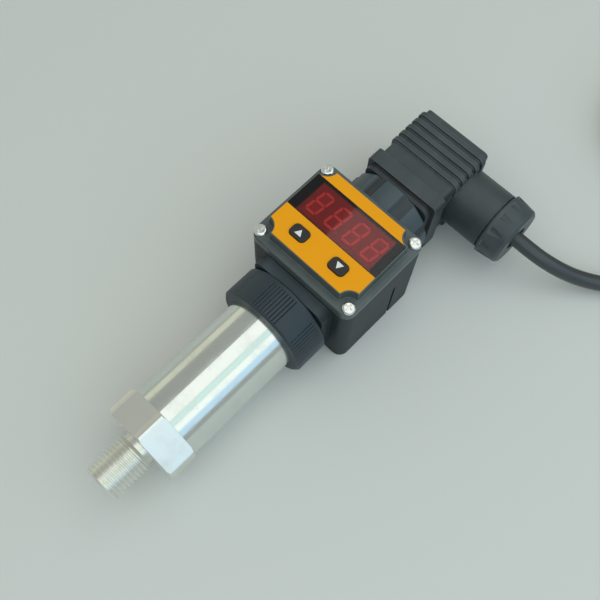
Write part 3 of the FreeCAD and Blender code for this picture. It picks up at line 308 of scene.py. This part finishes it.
def turned_effect():
    """Turned or drawn metal: fine marks that run round the axis or along it, faint stains and
    smears, and edges that catch the light. Marks are noise that is stretched along their run."""
    group, given, made = new_effect("turned metal", {
        "Colour": ("Color", (0.8, 0.8, 0.8, 1)),
        "Stain Colour": ("Color", (0.6, 0.6, 0.55, 1)),
        "Across Marks": ("Vector", (6000, 40, 40)),
        "Mark Depth": ("Float", 0.000004),
        "Edge Width": ("Float", 0.0002),
        "Roughness": ("Float", 0.2),
    }, {"Colour": "Color", "Roughness": "Float", "Normal": "Vector"})
    place = add(group, "TexCoord").outputs["Object"]
    stretched = add(group, "VectorMath", {0: place, 1: given["Across Marks"]},
                    operation="MULTIPLY").outputs["Vector"]
    marks = add(group, "TexNoise", {"Vector": stretched, "Scale": 1.0, "Detail": 3.0}).outputs["Fac"]
    stains = add(group, "TexNoise", {"Vector": place, "Scale": STAIN_SCALE, "Detail": 5.0,
                                     "Roughness": 0.65}).outputs["Fac"]
    patches = add(group, "MapRange", {
        "Value": stains, "From Min": STAIN_STARTS, "From Max": STAIN_FULL,
    }).outputs[0]
    soft = add(group, "Bevel", {"Radius": given["Edge Width"]}, samples=BEVEL_SAMPLES).outputs["Normal"]
    coloured = blend_colours(group, patches, given["Colour"], given["Stain Colour"])
    group.links.new(coloured, made["Colour"])
    rough = math_of(group, "ADD", given["Roughness"], spread(group, patches, -0.02, 0.1))
    group.links.new(math_of(group, "ADD", rough, spread(group, marks, -0.03, 0.03)), made["Roughness"])
    bump = add(group, "Bump", {"Height": marks, "Distance": given["Mark Depth"], "Normal": soft})
    group.links.new(bump.outputs["Normal"], made["Normal"])
    return group


TURNED = turned_effect()


def metal(name, colour, stain, roughness, across=(6000, 40, 40), depth=0.004, width=0.2, **constants):
    """A metal; across is how closely the marks lie along each axis, depth and width in millimetres."""
    return new_material(name, TURNED, {
        "Colour": (*colour, 1), "Stain Colour": (*stain, 1), "Roughness": roughness,
        "Across Marks": across, "Mark Depth": depth * MM, "Edge Width": width * MM,
    }, Metallic=1.0, **constants)


SHARP_ANGLE = 32


def closed_grid(name, points, material, body, slot, *replaced):
    """A piece over a grid of points, rows by columns, that closes on itself both ways. Its shading
    is smooth, but for edges where the faces turn by more than the sharp angle."""
    rows, columns = points.shape[:2]
    row, column = np.meshgrid(np.arange(rows), np.arange(columns), indexing="ij")

    def number(i, j):
        return (i % rows) * columns + j % columns

    faces = np.stack([number(row, column), number(row, column + 1), number(row + 1, column + 1),
                      number(row + 1, column)], axis=-1).reshape(-1, 4)
    mesh = bpy.data.meshes.new(name)
    mesh.from_pydata(points.reshape(-1, 3), [], faces.tolist())
    shell = bmesh.new()
    shell.from_mesh(mesh)
    bmesh.ops.recalc_face_normals(shell, faces=shell.faces)
    shell.to_mesh(mesh)
    shell.free()
    mesh.shade_smooth()
    mesh.set_sharp_from_angle(angle=math.radians(SHARP_ANGLE))
    mesh.materials.append(material)
    piece = bpy.data.objects.new(name, mesh)
    bpy.context.scene.collection.objects.link(piece)
    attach(piece, body)
    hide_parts(*replaced)


thread_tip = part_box("process_connection")[0].x
THREAD_PITCH = 25.4 / 19
THREAD_RADIUS = 6.58
THREAD_DEPTH = 0.5
GROOVE_POWER = 1.5
THREAD_CHAMFER = 0.6
THREAD_END = 13.4
RELIEF_START = 14.44
RELIEF_RADIUS = 5.6
HEX_FRONT = 16.0
HEX_REAR = 26.0
HEX_TURN = 37.5
HEX_APOTHEM = 13.5
HEX_FACE_RADIUS = 14.7
HEX_CORNER_LOSS = 0.12
PORT_RADIUS = 2.5
PORT_CHAMFER = 0.4
SPIGOT_RADIUS = 11.45
SPIGOT_END = 35.0
SEAT = [(35.0, 8.6), (29.8, 8.6), (29.8, 7.1), (28.2, 7.1), (28.2, 2.5)]
ROWS_A_PITCH = 10
COLUMNS = 360
HEX_SIDE = 60
HEX_CHAMFER = 30


def connection_points():
    """The bar's surface as rings of points, each with a station and a radius at every angle. The
    thread's radius is the lesser of a rounded wave over station minus angle and the end chamfer's
    cone. The hexagon's radius is its half width over the cosine of the angle from the middle of
    the side, and its chamfers start where that passes the turned face's radius."""
    angle = np.linspace(0, 2 * np.pi, COLUMNS, endpoint=False)
    flat = np.ones(COLUMNS)
    from_side = (np.degrees(angle) - HEX_TURN) % HEX_SIDE - HEX_SIDE / 2
    corner = HEX_APOTHEM / math.cos(math.radians(HEX_SIDE / 2)) - HEX_CORNER_LOSS
    hexagon = np.minimum(HEX_APOTHEM / np.cos(np.radians(from_side)), corner)
    chamfer = np.maximum(hexagon - HEX_FACE_RADIUS, 0) * math.tan(math.radians(HEX_CHAMFER))
    face = np.minimum(hexagon, HEX_FACE_RADIUS)
    rings = [
        (flat * PORT_CHAMFER, flat * PORT_RADIUS),
        (flat * 0, flat * (PORT_RADIUS + PORT_CHAMFER)),
    ]
    count = math.ceil(THREAD_END / THREAD_PITCH * ROWS_A_PITCH)
    for station in np.linspace(0, THREAD_END, count + 1):
        wave = 0.5 - 0.5 * np.cos(2 * np.pi * station / THREAD_PITCH - angle)
        thread = THREAD_RADIUS - THREAD_DEPTH * wave**GROOVE_POWER
        rings.append((flat * station, np.minimum(thread, THREAD_RADIUS - THREAD_CHAMFER + station)))
    rings += [
        (flat * RELIEF_START, flat * RELIEF_RADIUS),
        (flat * HEX_FRONT, flat * RELIEF_RADIUS),
        (flat * HEX_FRONT, face),
        (HEX_FRONT + chamfer, hexagon),
        (HEX_REAR - chamfer, hexagon),
        (flat * HEX_REAR, face),
        (flat * HEX_REAR, flat * SPIGOT_RADIUS),
        (flat * SPIGOT_END, flat * SPIGOT_RADIUS),
    ]
    rings += [(flat * station, flat * radius) for station, radius in SEAT]
    station = np.array([ring[0] for ring in rings])
    radius = np.array([ring[1] for ring in rings])
    points = np.stack([station, radius * np.cos(angle), radius * np.sin(angle)], axis=-1) * MM
    return points + np.array([thread_tip, axis.y, axis.z])


closed_grid("threaded_connection", connection_points(), metal(
    "turned steel bar", (0.86, 0.86, 0.80), (0.77, 0.77, 0.71), 0.32, across=(5000, 300, 300),
    depth=0.006, width=0.15,
), "transmitter", "machined_steel", "process_connection")

# --- pressure cell --------------------------------------------------------------------------------
# A ceramic disc that senses the pressure, on a rubber ring, held down by a threaded steel ring.

finish_in(moulded("ceramic", (0.80, 0.78, 0.72), (0.9, 0.88, 0.82), 0.5, grain=0.1), "pressure_cell")
finish_in(metal("plain steel", (0.62, 0.61, 0.58), (0.45, 0.43, 0.40), 0.32), "clamp_ring")
finish_in(moulded("seal rubber", (0.012, 0.012, 0.012), (0.05, 0.05, 0.05), 0.7, grain=0.2),
          "cell_seal", "lid_seal", "flat_seal", "plug_screw_seal", "gland_seal")

# --- housing tube ---------------------------------------------------------------------------------
# A drawn tube of stainless steel, polished round and pressed on the connection's spigot.

finish_in(metal("polished tube", (0.77, 0.80, 0.76), (0.71, 0.74, 0.70), 0.17,
                across=(900, 60, 60), depth=0.0015, width=0.25), "housing_tube")

# --- amplifier ------------------------------------------------------------------------------------
# A glass-fibre board with a green mask, its tracks and its blocks of parts, inside the tube.

TRACK_SCALE = 260.0
TRACK_WIDTH = 0.05


def board_material():
    """Green solder mask over a net of tracks: the tracks are paler bands of a brick pattern."""
    material = moulded("circuit board", (0.02, 0.15, 0.06), (0.25, 0.3, 0.15), 0.35, grain=0.15)
    tree = material.node_tree
    place = add(tree, "TexCoord").outputs["Object"]
    tracks = add(tree, "TexBrick", {
        "Vector": place, "Scale": TRACK_SCALE, "Mortar Size": TRACK_WIDTH,
        "Color1": (0.015, 0.13, 0.05, 1), "Color2": (0.02, 0.16, 0.07, 1),
        "Mortar": (0.07, 0.30, 0.13, 1),
    }).outputs["Color"]
    return shade_in(material, tracks)


finish_in(board_material(), "amplifier_board", "display_board", "main_board")

# --- plug bases and contact blades ----------------------------------------------------------------
# Glass-filled polyamide bases, one behind the tube and one behind the head, and tinned brass blades.

finish_in(moulded("base plastic", (0.019, 0.026, 0.031), (0.11, 0.13, 0.145), 0.48),
          "front_plug_base", "rear_plug_base", "plug_insert", "shank_lock_nut")
finish_in(metal("tinned brass", (0.80, 0.74, 0.58), (0.6, 0.5, 0.32), 0.28),
          "front_contact_blades", "rear_contact_blades")

# --- union ring -----------------------------------------------------------------------------------
# A screwed ring of slate-black polyamide with six groups of fine grip ribs. It turns.

finish_in(moulded("ring plastic", (0.014, 0.026, 0.036), (0.11, 0.15, 0.18), 0.46, depth=0.008,
                  width=0.2, Specular_IOR_Level=0.45), "union_ring")

# --- display head ---------------------------------------------------------------------------------
# A moulded box that plugs on the front base, and its lid with the scalloped platform. Both are
# satin ABS, near black with a hint of green. Their edges are painted paler, partly as wear and
# partly as a painted highlight, and faces that look up are painted paler as painted light from
# above.

finish_in(moulded("head plastic", (0.010, 0.017, 0.018), (0.11, 0.145, 0.165), 0.5, grain=0.25,
                  depth=0.008, width=0.35, painted_top_light=0.4, Specular_IOR_Level=0.25), "head_housing")
# The lid's pale edge colour paints highlight lines along its rims.
finish_in(moulded("lid plastic", (0.010, 0.018, 0.019), (0.46, 0.55, 0.55), 0.36, grain=0.25,
                  depth=0.006, width=0.28, painted_top_light=0.05), "head_lid")
finish_in(metal("bright screw", (0.86, 0.86, 0.84), (0.7, 0.7, 0.68), 0.2, across=(900, 900, 900),
                depth=0.003, width=0.15), "lid_screws", "plug_screw")

# --- label ----------------------------------------------------------------------------------------
# Two bands of matt foil printed orange, glued on the platform either side of the window. They
# bear no text. Their cut edges are painted a little paler, as a painted highlight.

finish_in(moulded("orange foil", (1.0, 0.385, 0.002), (1.0, 0.52, 0.04), 0.5, grain=0.12, depth=0.002,
                  width=0.3, Specular_IOR_Level=0.15), "label_band", "label_strip")

# --- window and display ---------------------------------------------------------------------------
# A red acrylic filter over a four-digit light-emitting display that is off: its milky segments
# show paler than the face round them.

FILTER_ROUGHNESS = 0.04
DIGIT_PITCH = 7.6
DIGIT_SLANT = 0.12
HALF_DIGIT = 2.77
HALF_BOX_LENGTH = 4.5
HALF_BOX_WIDTH = 2.3
DOT_STARTS = 2.55


def filter_material():
    """Red acrylic, clear and glossy, with the faintest waviness."""
    material = moulded("red filter", (0.85, 0.19, 0.19), (0.85, 0.22, 0.22), 0.06, grain=3.0,
                       depth=0.004, width=0.1, Transmission_Weight=1.0, IOR=1.49)
    tree = material.node_tree
    shader = tree.nodes["Principled BSDF"]
    tree.links.remove(shader.inputs["Roughness"].links[0])
    shader.inputs["Roughness"].default_value = FILTER_ROUGHNESS
    return material


def digit_places(tree):
    """Outputs that say where a point lies among the slanted digits: its distance from the row's
    middle line along X, and its distance from the nearest digit's middle along Y."""
    place = add(tree, "TexCoord").outputs["Object"]
    at = add(tree, "SeparateXYZ", {"Vector": place}).outputs
    low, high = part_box("display_segments")
    up = math_of(tree, "SUBTRACT", at["X"], (low.x + high.x) / 2)
    slanted = math_of(tree, "ADD", at["Y"], math_of(tree, "MULTIPLY", up, DIGIT_SLANT))
    from_first = math_of(tree, "SUBTRACT", slanted, high.y - HALF_DIGIT * MM)
    across = math_of(tree, "PINGPONG", from_first, DIGIT_PITCH / 2 * MM)
    return math_of(tree, "ABSOLUTE", up), across


def display_material():
    """The display's face: dull red resin, a little redder in the slanted box round each digit,
    where the distances along and across are both small."""
    material = moulded("display face", (0.2, 0.2, 0.2), (0.2, 0.2, 0.2), 0.5, width=0.1)
    tree = material.node_tree
    along, across = digit_places(tree)
    inside = math_of(tree, "MULTIPLY", math_of(tree, "LESS_THAN", along, HALF_BOX_LENGTH * MM),
                     math_of(tree, "LESS_THAN", across, HALF_BOX_WIDTH * MM))
    return shade_in(material, blend_colours(tree, inside, (0.34, 0.12, 0.11, 1), (0.46, 0.13, 0.12, 1)))


def segment_material():
    """Milky red resin. The dots, which lie between the digits, are as dark as the face."""
    material = moulded("segments", (0.8, 0.5, 0.5), (0.8, 0.5, 0.5), 0.35, width=0.08)
    tree = material.node_tree
    _, across = digit_places(tree)
    dot = math_of(tree, "GREATER_THAN", across, DOT_STARTS * MM)
    return shade_in(material, blend_colours(tree, dot, (1.0, 0.80, 0.80, 1), (0.42, 0.14, 0.13, 1)))


finish_in(filter_material(), "display_window")
finish_in(display_material(), "display_module")
finish_in(segment_material(), "display_segments")
finish_in(moulded("part plastic", (0.02, 0.02, 0.02), (0.08, 0.08, 0.08), 0.5), "board_header",
          "key_switches")

# --- keys -----------------------------------------------------------------------------------------
# Two soft black caps that stand a little over the label, each with a white printed arrow. A cap
# goes down by four tenths of a millimetre and presses a switch on the display board.

finish_in(moulded("key rubber", (0.010, 0.009, 0.008), (0.07, 0.06, 0.05), 0.42, grain=0.2,
                  depth=0.004, width=0.3), "key_up", "key_down")
finish_in(moulded("white print", (0.86, 0.88, 0.88), (0.92, 0.93, 0.93), 0.5, width=0.05),
          "key_up_arrow", "key_down_arrow")

# --- coupling nut ---------------------------------------------------------------------------------
# The nut behind the head that draws the rear base up: slate polyamide with eight lands, painted
# paler than the flutes between them as painted light and shade.

# How far under the nut's outside the lands' painted light and the flutes' painted shade are full
NUT_LIT_LAND_DEPTH = 0.3
NUT_FLUTE_DEPTH = 1.1


def nut_material():
    """Slate plastic, painted paler on the lands and darker in the flutes as painted light and shade:
    dark to pale with the distance from the axis, between the flutes' depth and the lands' height."""
    material = moulded("nut plastic", (0.03, 0.03, 0.03), (0.16, 0.20, 0.22), 0.40, width=0.3)
    tree = material.node_tree
    low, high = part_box("coupling_nut")
    outside = (high.y - low.y) / 2
    place = add(tree, "TexCoord").outputs["Object"]
    centred = add(tree, "VectorMath", {0: place, 1: (0, -axis.y, -axis.z)}, operation="ADD").outputs[0]
    across = add(tree, "VectorMath", {0: centred, 1: (0, 1, 1)}, operation="MULTIPLY").outputs[0]
    reach = add(tree, "VectorMath", {0: across}, operation="LENGTH").outputs["Value"]
    # Painted light on the lands and painted shade in the flutes, by distance from the axis
    land = add(tree, "MapRange", {
        "Value": reach, "From Min": outside - NUT_FLUTE_DEPTH * MM,
        "From Max": outside - NUT_LIT_LAND_DEPTH * MM,
    }).outputs[0]
    shades = blend_colours(tree, land, (0.012, 0.018, 0.022, 1), (0.042, 0.064, 0.078, 1))
    return shade_in(material, shades)


finish_in(nut_material(), "coupling_nut")

# --- cable plug and gland -------------------------------------------------------------------------
# The angled plug with its ribbed back, the gland's washer and the lobed nut that grips the cable:
# black glass-filled polyamide, dull, with edges painted paler, partly as rubbed wear and partly as
# a painted highlight; the plug's upward faces are painted faintly paler as painted light from
# above. The nut is a shade lighter.

finish_in(moulded("plug plastic", (0.020, 0.029, 0.034), (0.24, 0.27, 0.28), 0.46, grain=0.35,
                  depth=0.012, width=0.5, painted_top_light=0.03), "plug_housing", "gland_washer")
finish_in(moulded("gland plastic", (0.026, 0.038, 0.046), (0.26, 0.30, 0.32), 0.42, grain=0.35,
                  depth=0.012, width=0.6), "gland_nut")

# --- table and light ------------------------------------------------------------------------------
# A pale table top under four soft panes, which go from overhead down the -Y side with cooler
# light the lower they are, a faint warm wall on the +Y side, and an even pale room.

LAMP_DISTANCE = 0.70
LAMP_WIDTH = 1.3
WATTS_FROM_RADIANCE = 4.0
# Each lamp's name, tilt and opening in degrees, radiance and colour
LAMPS = [
    ("overhead pane", 1.5, 37.0, 0.62, (0.97, 1.0, 0.98)),
    ("middle pane", 28.0, 14.0, 0.50, (0.60, 1.0, 1.0)),
    ("window pane", 45.5, 19.0, 0.66, (0.93, 1.0, 0.99)),
    ("low pane", 64.5, 19.0, 0.60, (0.34, 0.66, 1.0)),
    ("warm wall", -74.0, 22.0, 0.26, (0.95, 0.95, 0.62)),
]


def lamp(name, tilt, opening, radiance, colour):
    """A soft rectangular lamp that looks at the origin. It stands over the axis, tilted towards -Y
    by tilt degrees, and is as high as it takes to fill the opening in degrees seen from there. Its
    power is its radiance times its area times a fixed factor."""
    turned = math.radians(tilt)
    place = Vector((0, -LAMP_DISTANCE * math.sin(turned), LAMP_DISTANCE * math.cos(turned)))
    height = 2 * LAMP_DISTANCE * math.tan(math.radians(opening / 2))
    data = bpy.data.lights.new(name, "AREA")
    data.shape = "RECTANGLE"
    data.size = LAMP_WIDTH
    data.size_y = height
    data.energy = radiance * WATTS_FROM_RADIANCE * LAMP_WIDTH * height
    data.color = colour
    light = bpy.data.objects.new(name, data)
    bpy.context.scene.collection.objects.link(light)
    light.location = place
    light.rotation_euler = (-place).to_track_quat("-Z", "Y").to_euler()


FLOOR_REACH = 3.0
floor_mesh = bpy.data.meshes.new("table_top")
floor_mesh.from_pydata([(x * FLOOR_REACH, y * FLOOR_REACH, 0) for x, y in
                        ((-1, -1), (1, -1), (1, 1), (-1, 1))], [], [(0, 1, 2, 3)])
floor = bpy.data.objects.new("table_top", floor_mesh)
bpy.context.scene.collection.objects.link(floor)
floor_mesh.materials.append(moulded("table paint", (0.72, 0.73, 0.71), (0.72, 0.73, 0.71), 0.7,
                                    grain=0.8, depth=0.004))
for lamp_row in LAMPS:
    lamp(*lamp_row)
world = bpy.data.worlds.new("room")
world.use_nodes = True
room = world.node_tree.nodes["Background"].inputs
room["Color"].default_value = (0.78, 0.82, 0.78, 1)
room["Strength"].default_value = 0.50
bpy.context.scene.world = world
bpy.context.scene.view_settings.view_transform = "Standard"

bpy.context.view_layer.update()
